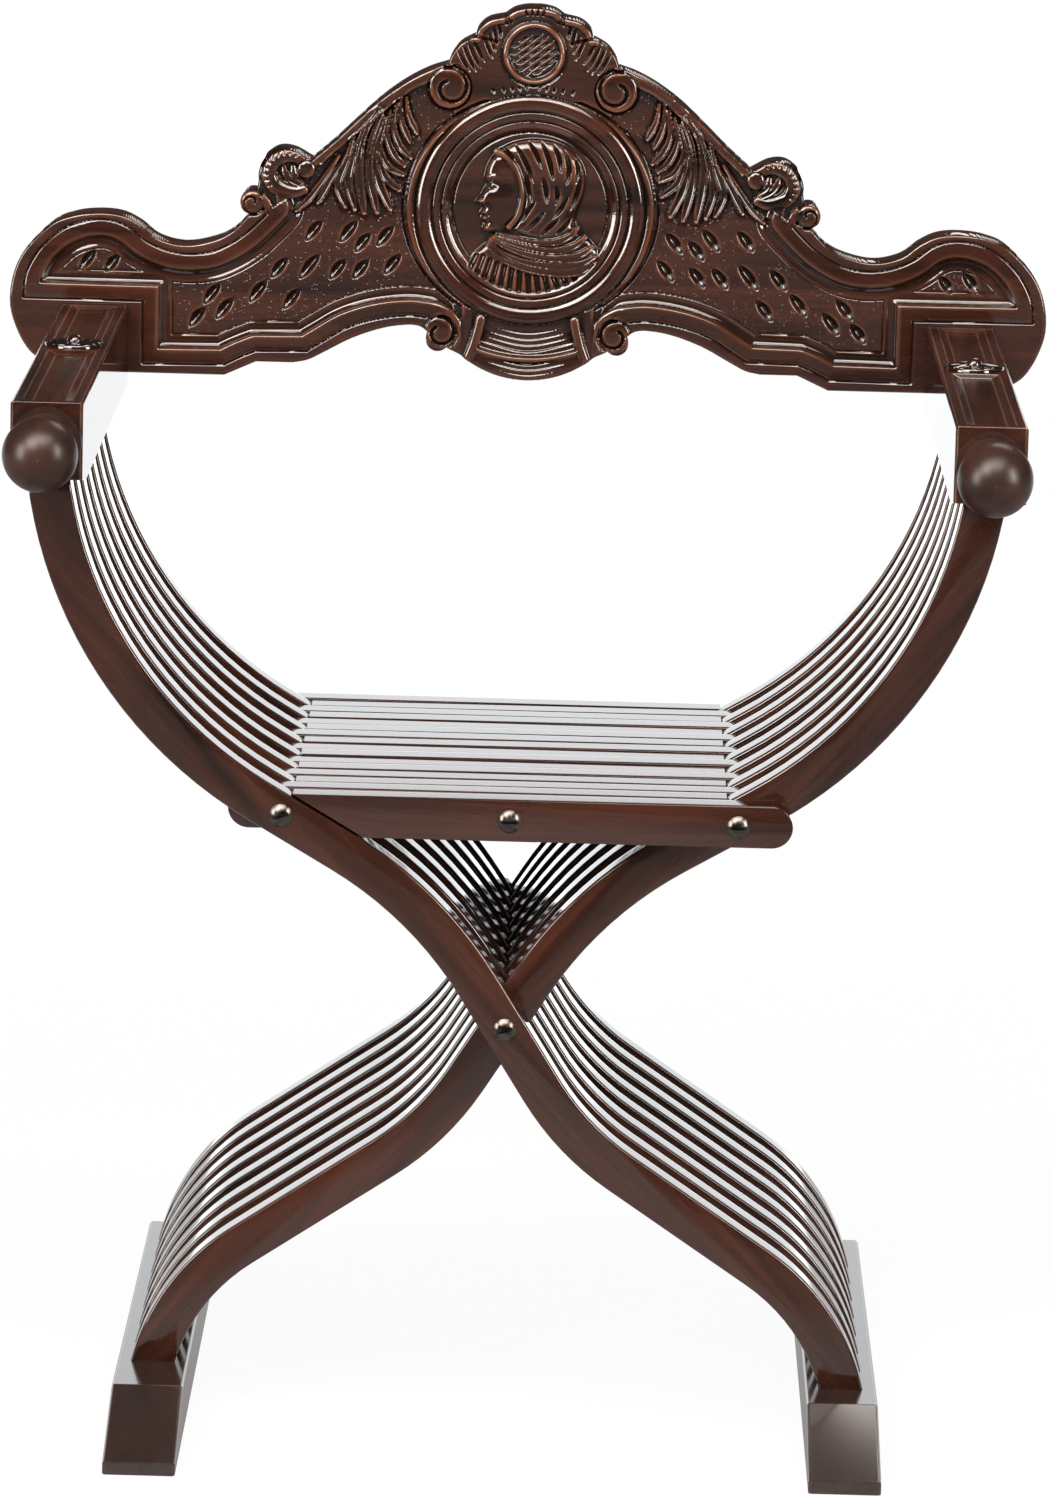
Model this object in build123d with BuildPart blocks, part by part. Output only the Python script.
from build123d import *

import math
import os

os.makedirs("parts", exist_ok=True)

# Savonarola folding armchair, in millimetres, +Z up, front toward -Y, floor at z = 0.
# Sixteen layers of staves lie one behind another. Even layers lean from the left arm to the
# right foot, odd layers from the right arm to the left foot, and all of them turn on one
# cross rod. A seat board fills the rest of every layer.

# ---------------------------------------------------------------- layers
STAVES_PER_SET = 8          # staves in each leaning set
LAYER_PITCH = 22.0          # front face of one layer to front face of the next
LAYER_GAP = 0.6             # air between two layers, so that they fold past each other
EASE = 1.5                  # rounding of the long edges of staves and seat boards

LAYERS = 2 * STAVES_PER_SET
LAYER_THICK = LAYER_PITCH - LAYER_GAP
STACK_FRONT = -LAYERS * LAYER_PITCH / 2
STACK_REAR = STACK_FRONT + LAYERS * LAYER_PITCH - LAYER_GAP

# ---------------------------------------------------------------- pivots
CROSS_Z = 269.2             # height of the cross rod
SEAT_PIVOT_X = 147.3        # seat rods, either side of the middle
SEAT_Z = 407.0              # height of the seat rods
ROD_DIAMETER = 8.0
RUNNING_CLEARANCE = 0.1     # radial, of every rod and pin in its hole
DOWEL_CLEARANCE = 0.1       # radial, of every glued dowel, peg and screw in its hole
HEAD_DIAMETER = 15.0
HEAD_HEIGHT = 4.0
HEAD_CROWN_EDGE = 0.8       # straight rim under the dome
SLOT_WIDTH = 2.0
SLOT_DEPTH = 1.6
SLOT_TILT = 18.0            # slots of the left seat rod and the cross rod
NUT_GRIP = 2.6              # length of rod inside its domed nut

# ---------------------------------------------------------------- arms
ARM_X = 300.05
ARM_WIDTH = 46.5
ARM_BOTTOM_Z = 618.3
ARM_HEIGHT = 55.4
ARM_OVERHANG = 14.7         # front staves to the front end of the arm
ARM_FRONT_RISE = 5.6        # the underside rises this much towards the front end
ARM_RISE_LENGTH = 38.0
ARM_EASE = 1.5
PANEL_BORDER = 7.4
PANEL_BEVEL = 5.5
PANEL_DEPTH = 2.2
ROSETTE_DIAMETER = 40.0
ROSETTE_RIM = 1.4
ROSETTE_HEIGHT = 5.2
ROSETTE_SETBACK = 255.7     # front end of the arm to the middle of the rosette
ROSETTE_MARGIN = 5.0        # flat wood between the rosette and each panel
BEAD_DIAMETER = 9.0
PEG_DIAMETER = 8.0
PEG_LENGTH = 12.0
PETALS = 8

ARM_TOP_Z = ARM_BOTTOM_Z + ARM_HEIGHT
ARM_FRONT_Y = STACK_FRONT - ARM_OVERHANG
ARM_FRONT_BOTTOM_Z = ARM_BOTTOM_Z + ARM_FRONT_RISE
ARM_RISE_START_Y = ARM_FRONT_Y + ARM_RISE_LENGTH
ROSETTE_Y = ARM_FRONT_Y + ROSETTE_SETBACK

# ---------------------------------------------------------------- knobs
KNOB_RISE = 30.0            # underside of the arm to the knob's axis
KNOB_BALL_DIAMETER = 48.0
KNOB_REACH = 54.0           # arm's front face to the centre of the ball
KNOB_FLANGE_DIAMETER = 45.2
KNOB_FLANGE_THICK = 5.0
KNOB_COVE_DIAMETER = 38.0
KNOB_NECK_DIAMETER = 26.0
KNOB_DOWEL_DIAMETER = 12.0
KNOB_DOWEL_LENGTH = 24.0
DOWEL_END_ROOM = 1.0

KNOB_Z = ARM_BOTTOM_Z + KNOB_RISE

# ---------------------------------------------------------------- feet
FOOT_X = 225.25
FOOT_WIDTH = 46.5
FOOT_HEIGHT = 34.6
FOOT_REAR_REACH = 29.6      # rear staves to the rear end
FOOT_FRONT_REACH = 33.5     # front staves to where the flat top starts to slope down
FOOT_SLOPE_LENGTH = 89.1
FOOT_TOE_HEIGHT = 8.7
FOOT_EASE = 1.5

FOOT_REAR_Y = STACK_REAR + FOOT_REAR_REACH
FOOT_SLOPE_Y = STACK_FRONT - FOOT_FRONT_REACH
FOOT_TOE_Y = FOOT_SLOPE_Y - FOOT_SLOPE_LENGTH

# ---------------------------------------------------------------- staves
STAVE_WIDTH = 27.8
STAVE_ARM_HEADING = -80.0   # headings of the five runs, seen from the front, degrees
STAVE_SEAT_HEADING = -30.2
STAVE_CROSS_HEADING = -57.7
STAVE_LEG_HEADING = -33.9
STAVE_FOOT_HEADING = -75.0
STAVE_ARM_INSET = 1.02      # stave centre outside the arm's own centre at the underside
STAVE_KNEE = 85.6           # cross rod to the corner below it
STAVE_FOOT_INSET = 0.05
BEND_ARM = 282.0            # centre line radii of the four bends
BEND_SEAT = 261.0
BEND_KNEE = 178.0
BEND_FOOT = 137.0
STAVE_SPARE = 16.0          # length left on each end before it is cut to the rail

# ---------------------------------------------------------------- seat boards
BOARD_HEIGHT = 27.8
BOARD_OVERHANG = 35.3       # seat rod to the round end
BOARD_STAVE_GAP = 1.0       # slanted end to the stave of the same layer
BOARD_TIP_RADIUS = 0.5

# ---------------------------------------------------------------- crest
CREST_SETBACK = 91.6        # rear staves to the crest's face
CREST_HALF_WIDTH = 359.3
CREST_THICK = 31.6
CREST_ARM_GAP = 0.3         # the arms' rear ends slide past the crest when it folds
CREST_EASE = 1.2
CREST_RISE = 7.7            # underside of the arms to the crest's lower edge
MEDALLION_RISE = 122.9      # crest's lower edge to the middle of the medallion
MEDALLION_FIELD_RADIUS = 59.0
MEDALLION_FIELD_DEPTH = 8.0
MEDALLION_RING_RADIUS = 82.4
MEDALLION_GROOVE = 2.2
MEDALLION_GROOVE_STEP = 9.0
ROUNDEL_RISE = 227.0
ROUNDEL_RADIUS = 18.5
ROUNDEL_DEPTH = 5.0
SCREW_DIAMETER = 5.0
SCREW_HEAD_DIAMETER = 10.0
SCREW_HEAD_DEPTH = 3.0
SCREW_SPACING = 20.0
SCREW_RISE = 12.0           # crest's lower edge to the lower screws

CREST_FACE_Y = STACK_REAR + CREST_SETBACK
CREST_BOTTOM_Z = ARM_BOTTOM_Z + CREST_RISE
MEDALLION_Z = CREST_BOTTOM_Z + MEDALLION_RISE
ROUNDEL_Z = CREST_BOTTOM_Z + ROUNDEL_RISE
SCREW_LOW_Z = CREST_BOTTOM_Z + SCREW_RISE
ARM_REAR_Y = CREST_FACE_Y - CREST_ARM_GAP
ROD_HOLE_RADIUS = ROD_DIAMETER / 2 + RUNNING_CLEARANCE


def layer_front(layer):
    """Front face of a layer, counted from the front of the chair."""
    return STACK_FRONT + layer * LAYER_PITCH


def front_plane(y):
    """Sketch plane that looks at the chair from the front: local x is X, local y is Z."""
    return Plane.XZ.offset(-y)


def heading(angle):
    return Vector(math.cos(math.radians(angle)), math.sin(math.radians(angle)))


def crossing(point_a, angle_a, point_b, angle_b):
    """Where two slanted lines of the front view meet."""
    run_a = heading(angle_a)
    run_b = heading(angle_b)
    across = point_b - point_a
    turn = run_a.X * run_b.Y - run_a.Y * run_b.X
    reach = (across.X * run_b.Y - across.Y * run_b.X) / turn
    return point_a + run_a * reach


def dome_point(radius, rim, crown):
    """Point half way up a spherical cap that starts at (radius, rim) and tops out at (0, crown)."""
    rise = abs(crown - rim)
    ball = (radius**2 + rise**2) / (2 * rise)
    height = math.sqrt(ball**2 - radius**2 / 4) - (ball - rise)
    return (radius / 2, rim + math.copysign(height, crown - rim))


STAVE_HEADINGS = [
    STAVE_ARM_HEADING,
    STAVE_SEAT_HEADING,
    STAVE_CROSS_HEADING,
    STAVE_LEG_HEADING,
    STAVE_FOOT_HEADING,
]
STAVE_RADII = [BEND_ARM, BEND_SEAT, BEND_KNEE, BEND_FOOT]

cross_pivot = Vector(0, CROSS_Z)
seat_pivot = Vector(-SEAT_PIVOT_X, SEAT_Z)
arm_join = Vector(-ARM_X + STAVE_ARM_INSET, ARM_BOTTOM_Z)
foot_join = Vector(FOOT_X - STAVE_FOOT_INSET, FOOT_HEIGHT)
knee = cross_pivot + heading(STAVE_CROSS_HEADING) * STAVE_KNEE
stave_points = [
    arm_join - heading(STAVE_ARM_HEADING) * (ARM_TOP_Z - ARM_BOTTOM_Z),
    crossing(arm_join, STAVE_ARM_HEADING, seat_pivot, STAVE_SEAT_HEADING),
    crossing(seat_pivot, STAVE_SEAT_HEADING, cross_pivot, STAVE_CROSS_HEADING),
    knee,
    crossing(knee, STAVE_LEG_HEADING, foot_join, STAVE_FOOT_HEADING),
    foot_join + heading(STAVE_FOOT_HEADING) * STAVE_SPARE,
]


def stave_side(shift):
    """Corners and fillet radii of one long side, shift millimetres left of the centre line."""
    corners = []
    radii = []
    last = len(stave_points) - 1
    for index, point in enumerate(stave_points):
        into = STAVE_HEADINGS[max(index - 1, 0)]
        out = STAVE_HEADINGS[min(index, last - 1)]
        half_turn = math.radians(out - into) / 2
        bisector = math.radians((out + into) / 2 + 90)
        reach = shift / math.cos(half_turn)
        corners.append(Vector(point.X + reach * math.cos(bisector), point.Y + reach * math.sin(bisector)))
        if 0 < index < last:
            bend = STAVE_RADII[index - 1]
            radii.append(bend - shift if out > into else bend + shift)
        else:
            radii.append(0.0)
    return corners, radii


def stave_outline(flip):
    """Closed outline of a stave in the front view; flip is 1 for the left set, -1 for the right."""
    upper, upper_radii = stave_side(STAVE_WIDTH / 2)
    lower, lower_radii = stave_side(-STAVE_WIDTH / 2)
    corners = upper + lower[::-1]
    radii = upper_radii + lower_radii[::-1]
    return [(flip * corner.X, corner.Y) for corner in corners], radii


def pivot_hole(x, z, y, length, radius):
    """Cylinder along Y, used to bore a hole through one layer."""
    with Locations(front_plane(y + length).location * Location((x, z, 0))):
        Cylinder(radius, length, align=(Align.CENTER, Align.CENTER, Align.MIN), mode=Mode.SUBTRACT)


# ================================================================ staves
for stave_set, flip in (("left", 1), ("right", -1)):
    first_layer = 0 if stave_set == "left" else 1
    for number in range(STAVES_PER_SET):
        front = layer_front(first_layer + 2 * number)
        rear = front + LAYER_THICK
        outline, outline_radii = stave_outline(flip)
        with BuildPart() as stave:
            with BuildSketch(front_plane(rear)):
                with BuildLine():
                    FilletPolyline(*outline, radius=outline_radii, close=True)
                make_face()
            extrude(amount=LAYER_THICK)
            long_edges = stave.faces().filter_by(Axis.Y).edges()
            fillet(long_edges, radius=EASE)
            # the upper end is cut to the arm's underside
            with BuildSketch(Plane.YZ.offset(-flip * ARM_X)):
                with BuildLine():
                    Polyline(
                        (ARM_FRONT_Y, ARM_FRONT_BOTTOM_Z),
                        (ARM_RISE_START_Y, ARM_BOTTOM_Z),
                        (ARM_REAR_Y, ARM_BOTTOM_Z),
                        (ARM_REAR_Y, ARM_TOP_Z + STAVE_WIDTH),
                        (ARM_FRONT_Y, ARM_TOP_Z + STAVE_WIDTH),
                        close=True,
                    )
                make_face()
            extrude(amount=2 * ARM_WIDTH, both=True, mode=Mode.SUBTRACT)
            # the lower end is cut to the top of the foot rail
            with BuildSketch(Plane.XY):
                with Locations((flip * FOOT_X, front + LAYER_THICK / 2)):
                    Rectangle(3 * FOOT_WIDTH, 2 * LAYER_THICK)
            extrude(amount=FOOT_HEIGHT, mode=Mode.SUBTRACT)
            pivot_hole(0, CROSS_Z, front, LAYER_THICK, ROD_HOLE_RADIUS)
            pivot_hole(-flip * SEAT_PIVOT_X, SEAT_Z, front, LAYER_THICK, ROD_HOLE_RADIUS)
        stave_name = f"stave_{stave_set}_{number + 1}"
        stave.part.label = stave_name
        export_step(stave.part, f"parts/{stave_name}.step")

# ================================================================ seat boards
# The right boards share their layers with the left staves and the other way round.
board_round_x = SEAT_PIVOT_X + BOARD_OVERHANG - BOARD_HEIGHT / 2
stave_normal = heading(STAVE_SEAT_HEADING + 90)
end_clearance = STAVE_WIDTH / 2 + BOARD_STAVE_GAP
board_top = SEAT_Z + BOARD_HEIGHT / 2
board_bottom = SEAT_Z - BOARD_HEIGHT / 2
tip_x = -SEAT_PIVOT_X + (end_clearance - BOARD_HEIGHT / 2 * stave_normal.Y) / stave_normal.X
heel_x = -SEAT_PIVOT_X + (end_clearance + BOARD_HEIGHT / 2 * stave_normal.Y) / stave_normal.X

for board_set, flip in (("right", 1), ("left", -1)):
    first_layer = 0 if board_set == "right" else 1
    for number in range(STAVES_PER_SET):
        front = layer_front(first_layer + 2 * number)
        rear = front + LAYER_THICK
        with BuildPart() as board:
            with BuildSketch(front_plane(rear)) as board_face:
                with BuildLine():
                    Polyline(
                        (flip * board_round_x, board_top),
                        (flip * tip_x, board_top),
                        (flip * heel_x, board_bottom),
                        (flip * board_round_x, board_bottom),
                    )
                    ThreePointArc(
                        (flip * board_round_x, board_bottom),
                        (flip * (board_round_x + BOARD_HEIGHT / 2), SEAT_Z),
                        (flip * board_round_x, board_top),
                    )
                make_face()
                tip = board_face.vertices().sort_by_distance((flip * tip_x, board_top, 0))[0]
                fillet(tip, radius=BOARD_TIP_RADIUS)
            extrude(amount=LAYER_THICK)
            long_edges = board.faces().filter_by(Axis.Y).edges()
            fillet(long_edges, radius=EASE / 2)
            pivot_hole(flip * SEAT_PIVOT_X, SEAT_Z, front, LAYER_THICK, ROD_HOLE_RADIUS)
            pivot_hole(0, SEAT_Z, front, LAYER_THICK, ROD_HOLE_RADIUS)
        board_name = f"seat_board_{board_set}_{number + 1}"
        board.part.label = board_name
        export_step(board.part, f"parts/{board_name}.step")

# ================================================================ rods, nuts and pins
rod_places = (
    ("cross_rod", "cross_nut", 0.0, CROSS_Z, SLOT_TILT),
    ("seat_rod_left", "seat_nut_left", -SEAT_PIVOT_X, SEAT_Z, SLOT_TILT),
    ("seat_rod_right", "seat_nut_right", SEAT_PIVOT_X, SEAT_Z, 0.0),
)


def head_profile(length, radius):
    """Half section of a domed head: local x is the radius, local y runs back from its seat."""
    Polyline(
        (0, length),
        (radius, length),
        (radius, 0),
        (HEAD_DIAMETER / 2, 0),
        (HEAD_DIAMETER / 2, -HEAD_CROWN_EDGE),
    )
    Line((0, -HEAD_HEIGHT), (0, length))
    ThreePointArc(
        (HEAD_DIAMETER / 2, -HEAD_CROWN_EDGE),
        dome_point(HEAD_DIAMETER / 2, -HEAD_CROWN_EDGE, -HEAD_HEIGHT),
        (0, -HEAD_HEIGHT),
    )


def slotted_bolt(x, z, seat_y, length, tilt):
    """Bolt whose head seats at seat_y and whose shank runs back for length."""
    with BuildPart() as bolt:
        with BuildSketch(Plane((x, seat_y, z), x_dir=(1, 0, 0), z_dir=(0, 0, 1))):
            with BuildLine():
                head_profile(length, ROD_DIAMETER / 2)
            make_face()
        revolve(axis=Axis((x, seat_y, z), (0, 1, 0)))
        slot_plane = front_plane(seat_y - HEAD_HEIGHT)
        with BuildSketch(slot_plane):
            with Locations(Location((x, z, 0), (0, 0, tilt))):
                Rectangle(2 * HEAD_DIAMETER, SLOT_WIDTH)
        extrude(amount=-SLOT_DEPTH, mode=Mode.SUBTRACT)
    return bolt.part


for rod_name, nut_name, x, z, tilt in rod_places:
    rod = slotted_bolt(x, z, STACK_FRONT, STACK_REAR - STACK_FRONT + NUT_GRIP, tilt)
    rod.label = rod_name
    export_step(rod, f"parts/{rod_name}.step")
    with BuildPart() as nut:
        with BuildSketch(Plane((x, STACK_REAR, z), x_dir=(1, 0, 0), z_dir=(0, 0, 1))):
            with BuildLine():
                Polyline(
                    (0, HEAD_HEIGHT),
                    (0, NUT_GRIP + RUNNING_CLEARANCE),
                    (ROD_HOLE_RADIUS, NUT_GRIP + RUNNING_CLEARANCE),
                    (ROD_HOLE_RADIUS, 0),
                    (HEAD_DIAMETER / 2, 0),
                    (HEAD_DIAMETER / 2, HEAD_CROWN_EDGE),
                )
                ThreePointArc(
                    (HEAD_DIAMETER / 2, HEAD_CROWN_EDGE),
                    dome_point(HEAD_DIAMETER / 2, HEAD_CROWN_EDGE, HEAD_HEIGHT),
                    (0, HEAD_HEIGHT),
                )
            make_face()
        revolve(axis=Axis((x, STACK_REAR, z), (0, 1, 0)))
    nut.part.label = nut_name
    export_step(nut.part, f"parts/{nut_name}.step")

# The rod through the middle of the seat is held as one short length in every board.
seat_screw_front = slotted_bolt(0, SEAT_Z, STACK_FRONT, LAYER_THICK, 0.0)
seat_screw_front.label = "seat_screw_front"
export_step(seat_screw_front, "parts/seat_screw_front.step")

with BuildPart() as seat_screw_rear:
    with BuildSketch(Plane((0, STACK_REAR, SEAT_Z), x_dir=(1, 0, 0), z_dir=(0, 0, -1))):
        with BuildLine():
            head_profile(LAYER_THICK, ROD_DIAMETER / 2)
        make_face()
    revolve(axis=Axis((0, STACK_REAR, SEAT_Z), (0, 1, 0)))
seat_screw_rear.part.label = "seat_screw_rear"
export_step(seat_screw_rear.part, "parts/seat_screw_rear.step")

for pin_set in ("right", "left"):
    if pin_set == "right":
        pin_layers = range(2, LAYERS, 2)
    else:
        pin_layers = range(1, LAYERS - 1, 2)
    with BuildPart() as middle_pins:
        for layer in pin_layers:
            with BuildSketch(front_plane(layer_front(layer) + LAYER_THICK)):
                with Locations((0, SEAT_Z)):
                    Circle(ROD_DIAMETER / 2)
            extrude(amount=LAYER_THICK)
    pins_name = f"middle_pins_{pin_set}"
    middle_pins.part.label = pins_name
    export_step(middle_pins.part, f"parts/{pins_name}.step")

# ================================================================ arms, rosettes, knobs
panel_spans = (
    (ARM_FRONT_Y + PANEL_BORDER, ROSETTE_Y - ROSETTE_DIAMETER / 2 - ROSETTE_MARGIN),
    (ROSETTE_Y + ROSETTE_DIAMETER / 2 + ROSETTE_MARGIN, ARM_REAR_Y - PANEL_BORDER),
)
panel_width = ARM_WIDTH - 2 * PANEL_BORDER

for side_name, side in (("left", -1), ("right", 1)):
    centre_x = side * ARM_X
    with BuildPart() as arm:
        with BuildSketch(Plane.YZ.offset(centre_x)):
            with BuildLine():
                Polyline(
                    (ARM_FRONT_Y, ARM_TOP_Z),
                    (ARM_REAR_Y, ARM_TOP_Z),
                    (ARM_REAR_Y, ARM_BOTTOM_Z),
                    (ARM_RISE_START_Y, ARM_BOTTOM_Z),
                    (ARM_FRONT_Y, ARM_FRONT_BOTTOM_Z),
                    close=True,
                )
            make_face()
        extrude(amount=ARM_WIDTH / 2, both=True)
        top_edges = arm.faces().sort_by(Axis.Z)[-1].edges()
        front_edges = arm.faces().sort_by(Axis.Y)[0].edges().filter_by(Axis.Z)
        chamfer(top_edges.filter_by(Axis.Y) + front_edges, length=ARM_EASE)
        for start_y, end_y in panel_spans:
            middle_y = (start_y + end_y) / 2
            with BuildSketch(Plane.XY.offset(ARM_TOP_Z)):
                with Locations((centre_x, middle_y)):
                    Rectangle(panel_width, end_y - start_y)
            with BuildSketch(Plane.XY.offset(ARM_TOP_Z - PANEL_DEPTH)):
                with Locations((centre_x, middle_y)):
                    Rectangle(panel_width - 2 * PANEL_BEVEL, end_y - start_y - 2 * PANEL_BEVEL)
            loft(mode=Mode.SUBTRACT)
        with Locations((centre_x, ROSETTE_Y, ARM_TOP_Z)):
            Hole(PEG_DIAMETER / 2 + DOWEL_CLEARANCE, depth=PEG_LENGTH + DOWEL_END_ROOM)
        with BuildSketch(front_plane(ARM_FRONT_Y)):
            with Locations((centre_x, KNOB_Z)):
                Circle(KNOB_DOWEL_DIAMETER / 2 + DOWEL_CLEARANCE)
        extrude(amount=-(KNOB_DOWEL_LENGTH + DOWEL_END_ROOM), mode=Mode.SUBTRACT)
    arm_name = f"arm_{side_name}"
    arm.part.label = arm_name
    export_step(arm.part, f"parts/{arm_name}.step")

    with BuildPart() as rosette:
        rosette_plane = Plane((centre_x, ROSETTE_Y, ARM_TOP_Z), x_dir=(1, 0, 0), z_dir=(0, -1, 0))
        with BuildSketch(rosette_plane):
            with BuildLine():
                Polyline(
                    (0, ROSETTE_HEIGHT),
                    (0, -PEG_LENGTH),
                    (PEG_DIAMETER / 2, -PEG_LENGTH),
                    (PEG_DIAMETER / 2, 0),
                    (ROSETTE_DIAMETER / 2, 0),
                    (ROSETTE_DIAMETER / 2, ROSETTE_RIM),
                )
                ThreePointArc(
                    (ROSETTE_DIAMETER / 2, ROSETTE_RIM),
                    dome_point(ROSETTE_DIAMETER / 2, ROSETTE_RIM, ROSETTE_HEIGHT),
                    (0, ROSETTE_HEIGHT),
                )
            make_face()
        revolve(axis=Axis((centre_x, ROSETTE_Y, ARM_TOP_Z), (0, 0, 1)))
        with Locations(Location((centre_x, ROSETTE_Y, ARM_TOP_Z + ROSETTE_HEIGHT))):
            with PolarLocations(ROSETTE_DIAMETER / 2, PETALS):
                Cylinder(ROSETTE_RIM, ROSETTE_DIAMETER / 2, rotation=(0, 90, 0), mode=Mode.SUBTRACT)
        with Locations((centre_x, ROSETTE_Y, ARM_TOP_Z + ROSETTE_HEIGHT - BEAD_DIAMETER / 4)):
            Sphere(BEAD_DIAMETER / 2)
    rosette_name = f"arm_rosette_{side_name}"
    rosette.part.label = rosette_name
    export_step(rosette.part, f"parts/{rosette_name}.step")

    ball_join = math.sqrt(KNOB_BALL_DIAMETER**2 - KNOB_NECK_DIAMETER**2) / 2
    with BuildPart() as knob:
        with BuildSketch(Plane((centre_x, ARM_FRONT_Y, KNOB_Z), x_dir=(1, 0, 0), z_dir=(0, 0, 1))):
            with BuildLine():
                Polyline(
                    (0, -KNOB_REACH - KNOB_BALL_DIAMETER / 2),
                    (0, KNOB_DOWEL_LENGTH),
                    (KNOB_DOWEL_DIAMETER / 2, KNOB_DOWEL_LENGTH),
                    (KNOB_DOWEL_DIAMETER / 2, 0),
                    (KNOB_FLANGE_DIAMETER / 2, 0),
                    (KNOB_FLANGE_DIAMETER / 2, -KNOB_FLANGE_THICK),
                    (KNOB_COVE_DIAMETER / 2, -KNOB_FLANGE_THICK),
                )
                neck_y = -KNOB_REACH + ball_join
                ThreePointArc(
                    (KNOB_COVE_DIAMETER / 2, -KNOB_FLANGE_THICK),
                    (
                        KNOB_NECK_DIAMETER / 2 + (KNOB_COVE_DIAMETER - KNOB_NECK_DIAMETER) * 0.1,
                        (neck_y - KNOB_FLANGE_THICK) / 2 - 1,
                    ),
                    (KNOB_NECK_DIAMETER / 2, neck_y),
                )
                ThreePointArc(
                    (KNOB_NECK_DIAMETER / 2, neck_y),
                    (KNOB_BALL_DIAMETER / 2, -KNOB_REACH),
                    (0, -KNOB_REACH - KNOB_BALL_DIAMETER / 2),
                )
            make_face()
        revolve(axis=Axis((centre_x, ARM_FRONT_Y, KNOB_Z), (0, 1, 0)))
    knob_name = f"knob_{side_name}"
    knob.part.label = knob_name
    export_step(knob.part, f"parts/{knob_name}.step")

    with BuildPart() as foot:
        with BuildSketch(Plane.YZ.offset(side * FOOT_X)):
            with BuildLine():
                Polyline(
                    (FOOT_REAR_Y, 0),
                    (FOOT_REAR_Y, FOOT_HEIGHT),
                    (FOOT_SLOPE_Y, FOOT_HEIGHT),
                    (FOOT_TOE_Y, FOOT_TOE_HEIGHT),
                    (FOOT_TOE_Y, 0),
                    close=True,
                )
            make_face()
        extrude(amount=FOOT_WIDTH / 2, both=True)
        side_edges = foot.faces().filter_by(Axis.X).edges()
        chamfer(side_edges.filter_by(lambda edge: edge.center().Z > 1.0), length=FOOT_EASE)
    foot_name = f"foot_{side_name}"
    foot.part.label = foot_name
    export_step(foot.part, f"parts/{foot_name}.step")

# ================================================================ crest
def crest_point(x, height):
    """Point counted from the middle of the crest's lower edge, in shares of the half width."""
    return (x * CREST_HALF_WIDTH, CREST_BOTTOM_Z + height * CREST_HALF_WIDTH)


# Outline of the right half, from the bottom middle round to the top middle.
APRON_LOW = crest_point(0.0, 0.00417)
APRON_END = crest_point(0.13081, 0.05288)
LOWER_VOLUTE = crest_point(0.17256, 0.08071)
UPPER_VOLUTE = crest_point(0.53576, 0.33677)
VOLUTE_RADIUS = 8.5
STEP_START = crest_point(0.52324, 0.02783)
STEP_END = crest_point(0.58447, 0.0)
LOBE_START = crest_point(0.89062, 0.0)
LOBE_SIDE = crest_point(1.0, 0.15586)
LOBE_TOP = crest_point(0.83217, 0.30893)
DIP = crest_point(0.66518, 0.25049)
SCROLL_TOP = crest_point(0.48706, 0.44114)
SCROLL_NOTCH = crest_point(0.42304, 0.42165)
CARTOUCHE_FOOT = crest_point(0.16699, 0.6123)
CREST_TOP = crest_point(0.0, 0.72641)


def on_volute(centre, angle):
    """Point of a volute's eye at an angle counted anticlockwise from +X."""
    turn = math.radians(angle)
    return (centre[0] + VOLUTE_RADIUS * math.cos(turn), centre[1] + VOLUTE_RADIUS * math.sin(turn))


def screw_profile(clearance):
    """Half section of a countersunk screw or its hole: local y runs from the crest's face to its back."""
    shank = SCREW_DIAMETER / 2 + clearance
    head = SCREW_HEAD_DIAMETER / 2 + clearance
    Polyline(
        (0, 0),
        (shank, 0),
        (shank, CREST_THICK - SCREW_HEAD_DEPTH),
        (head, CREST_THICK),
        (0, CREST_THICK),
        close=True,
    )


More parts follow.
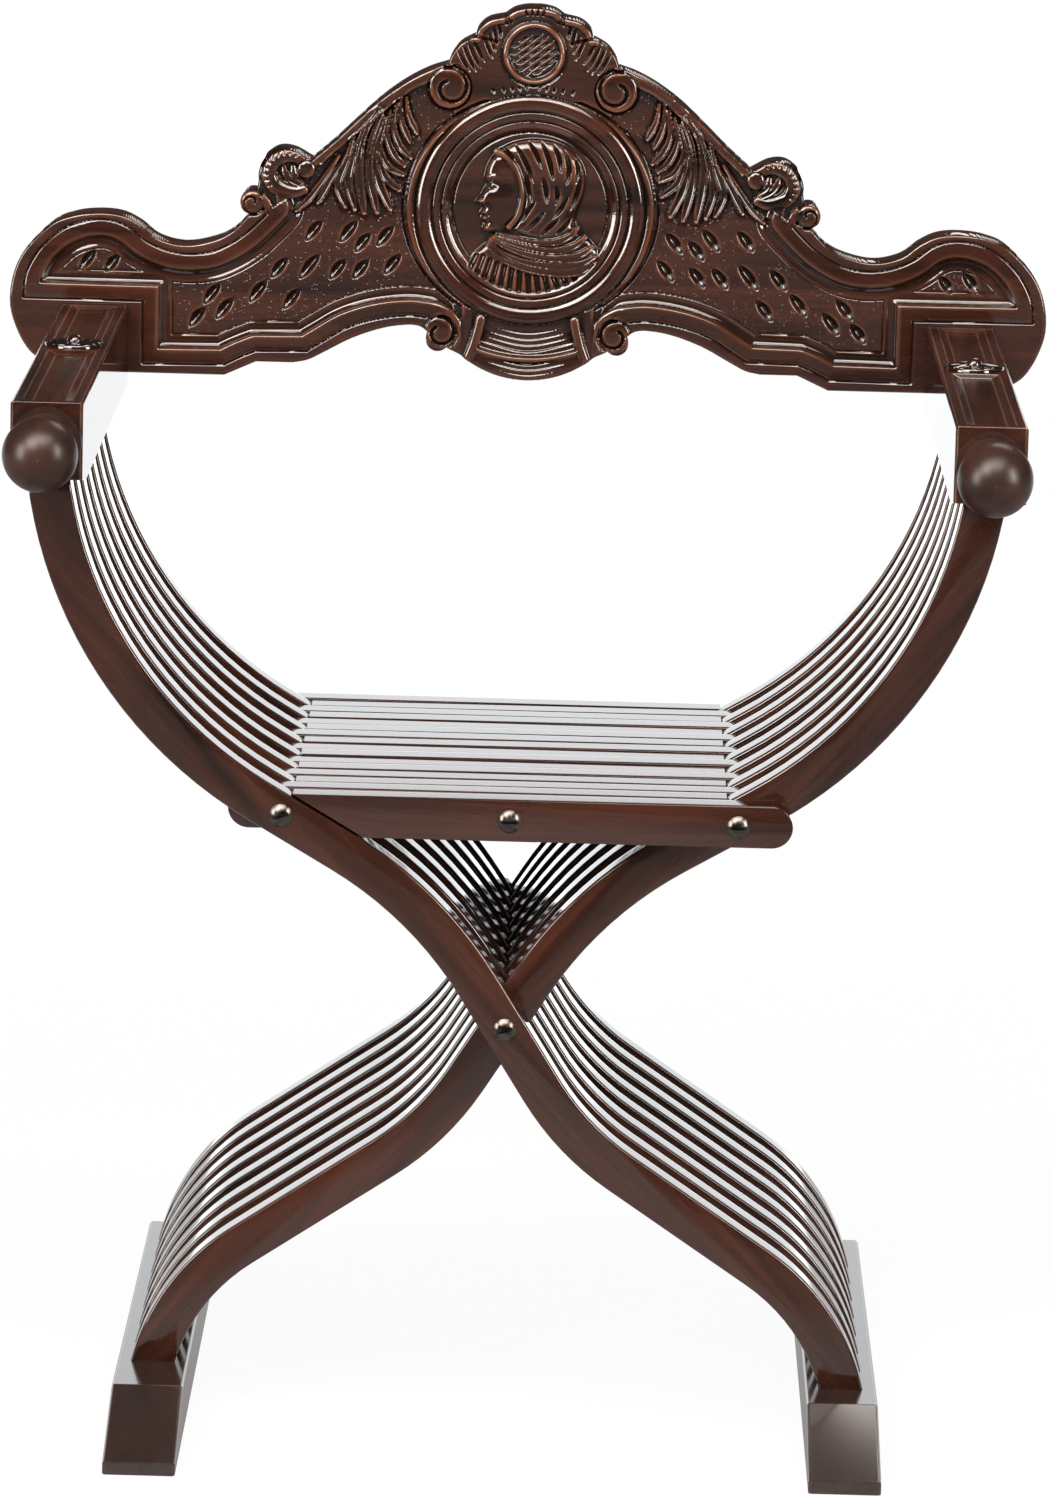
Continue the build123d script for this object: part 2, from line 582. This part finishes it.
with BuildPart() as crest:
    with BuildSketch(front_plane(CREST_FACE_Y + CREST_THICK)) as crest_face:
        with BuildLine():
            TangentArc(APRON_LOW, APRON_END, tangent=(1, 0))
            Line(APRON_END, on_volute(LOWER_VOLUTE, 225))
            ThreePointArc(
                on_volute(LOWER_VOLUTE, 225), on_volute(LOWER_VOLUTE, 310), on_volute(LOWER_VOLUTE, 35)
            )
            Spline(
                on_volute(LOWER_VOLUTE, 35),
                crest_point(0.21152, 0.10576),
                crest_point(0.24492, 0.10576),
                crest_point(0.28667, 0.09741),
                crest_point(0.33955, 0.07793),
                crest_point(0.39243, 0.04954),
                crest_point(0.42304, 0.03395),
                crest_point(0.45088, 0.02783),
                tangents=((1.0, 0.9), (1.0, 0.0)),
            )
            Line(crest_point(0.45088, 0.02783), STEP_START)
            Spline(STEP_START, crest_point(0.55385, 0.01392), STEP_END, tangents=((1.0, 0.0), (1.0, 0.0)))
            Line(STEP_END, LOBE_START)
            Spline(
                LOBE_START,
                crest_point(0.95742, 0.0334),
                LOBE_SIDE,
                crest_point(0.97968, 0.22266),
                crest_point(0.9268, 0.2811),
                LOBE_TOP,
                crest_point(0.76816, 0.29919),
                crest_point(0.71528, 0.26162),
                DIP,
                crest_point(0.6123, 0.26023),
                crest_point(0.57334, 0.27971),
                on_volute(UPPER_VOLUTE, 285),
                tangents=((1.0, 0.0), (-1.0, 1.2)),
            )
            ThreePointArc(
                on_volute(UPPER_VOLUTE, 285), on_volute(UPPER_VOLUTE, 10), on_volute(UPPER_VOLUTE, 110)
            )
            Spline(
                on_volute(UPPER_VOLUTE, 110),
                crest_point(0.52491, 0.37712),
                crest_point(0.52449, 0.39577),
                crest_point(0.51405, 0.42305),
                SCROLL_TOP,
                crest_point(0.45644, 0.43919),
                SCROLL_NOTCH,
                tangents=((0.3, 1.0), (-1.0, -0.7)),
            )
            Spline(
                SCROLL_NOTCH,
                crest_point(0.37712, 0.46201),
                crest_point(0.3312, 0.50654),
                crest_point(0.28667, 0.5469),
                crest_point(0.24214, 0.5789),
                CARTOUCHE_FOOT,
                tangents=((-1.0, 0.8), (-1.0, 0.25)),
            )
            Spline(
                CARTOUCHE_FOOT,
                crest_point(0.12803, 0.65822),
                crest_point(0.0835, 0.69858),
                CREST_TOP,
                tangents=((-0.6, 1.0), (-1.0, 0.0)),
            )
            mirror(about=Plane.YZ)
        make_face()
    extrude(amount=CREST_THICK)
    # medallion: a sunk round field with turned grooves around it
    with BuildSketch(front_plane(CREST_FACE_Y)):
        with Locations((0, MEDALLION_Z)):
            Circle(MEDALLION_FIELD_RADIUS)
    extrude(amount=-MEDALLION_FIELD_DEPTH, mode=Mode.SUBTRACT)
    with BuildSketch(front_plane(CREST_FACE_Y)):
        for groove_radius in (
            MEDALLION_RING_RADIUS - MEDALLION_GROOVE,
            MEDALLION_FIELD_RADIUS + MEDALLION_GROOVE_STEP,
        ):
            with Locations((0, MEDALLION_Z)):
                Circle(groove_radius)
                Circle(groove_radius - MEDALLION_GROOVE, mode=Mode.SUBTRACT)
    extrude(amount=-MEDALLION_GROOVE, mode=Mode.SUBTRACT)
    with BuildSketch(front_plane(CREST_FACE_Y)):
        with Locations((0, ROUNDEL_Z)):
            Circle(ROUNDEL_RADIUS)
    extrude(amount=-ROUNDEL_DEPTH, mode=Mode.SUBTRACT)
    # screw holes from the back, countersunk
    for side in (-1, 1):
        for level in (0, 1):
            screw_z = SCREW_LOW_Z + level * SCREW_SPACING
            with BuildSketch(Plane((side * ARM_X, CREST_FACE_Y, screw_z), x_dir=(1, 0, 0), z_dir=(0, 0, 1))):
                with BuildLine():
                    screw_profile(DOWEL_CLEARANCE)
                make_face()
            revolve(axis=Axis((side * ARM_X, CREST_FACE_Y, screw_z), (0, 1, 0)), mode=Mode.SUBTRACT)
crest.part.label = "crest"
export_step(crest.part, "parts/crest.step")

for side_name, side in (("left", -1), ("right", 1)):
    for level_name, level in (("lower", 0), ("upper", 1)):
        screw_z = SCREW_LOW_Z + level * SCREW_SPACING
        with BuildPart() as crest_screw:
            with BuildSketch(Plane((side * ARM_X, CREST_FACE_Y, screw_z), x_dir=(1, 0, 0), z_dir=(0, 0, 1))):
                with BuildLine():
                    screw_profile(0.0)
                make_face()
            revolve(axis=Axis((side * ARM_X, CREST_FACE_Y, screw_z), (0, 1, 0)))
            with BuildSketch(front_plane(CREST_FACE_Y + CREST_THICK)):
                with Locations((side * ARM_X, screw_z)):
                    Rectangle(SCREW_HEAD_DIAMETER, SLOT_WIDTH / 2)
            extrude(amount=SLOT_DEPTH / 2, mode=Mode.SUBTRACT)
        screw_name = f"crest_screw_{side_name}_{level_name}"
        crest_screw.part.label = screw_name
        export_step(crest_screw.part, f"parts/{screw_name}.step")
